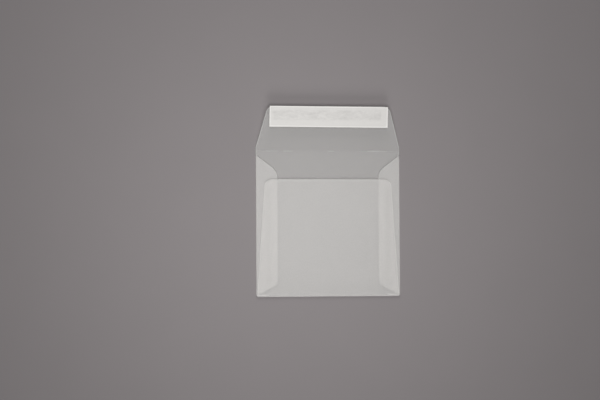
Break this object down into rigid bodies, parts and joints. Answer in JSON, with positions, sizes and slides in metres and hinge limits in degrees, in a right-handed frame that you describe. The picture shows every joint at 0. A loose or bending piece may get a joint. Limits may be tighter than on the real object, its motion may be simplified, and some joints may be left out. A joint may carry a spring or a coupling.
{
  "type": "envelope",
  "caption": "Square translucent paper envelope with an open seal flap, a self-adhesive band and a peel-off release liner.",
  "frame": {"origin": "centre of the front panel's outer face, which lies on the table", "axes": "+Z out of the back of the envelope, +Y from the bottom fold towards the seal flap, +X to the right seen from the back"},
  "size_m": [0.155, 0.2024, 0.0087],
  "materials": {
    "sheet_paper": "satin translucent paper",
    "liner_paper": "smooth silicone-coated white paper",
    "adhesive_film": "clear tacky film",
    "glue_film": "dried clear glue"
  },
  "bodies": {
    "pocket": {"front_panel": "sheet_paper", "left_fold": "sheet_paper", "right_fold": "sheet_paper", "bottom_fold": "sheet_paper", "left_side_flap": "sheet_paper", "right_side_flap": "sheet_paper", "left_seam_glue": "glue_film", "right_seam_glue": "glue_film", "back_panel": "sheet_paper", "flap_crease": "sheet_paper"},
    "flap": {"seal_flap": "sheet_paper", "seal_adhesive": "adhesive_film"},
    "liner": {"release_liner": "liner_paper"}
  },
  "joints": [
    {"name": "flap_fold", "type": "hinge", "parent": "pocket", "child": "flap", "pos_m": [0, 0.0775, 0.00098], "axis": [1, 0, 0], "range_deg": [-10, 170], "stiffness_Nm_per_rad": 0.002, "springref_deg": 6.88, "deforming": ["flap_crease"]},
    {"name": "liner_peel", "type": "slide", "parent": "flap", "child": "liner", "axis": [1, 0, 0], "range_m": [0, 0.13]}
  ]
}
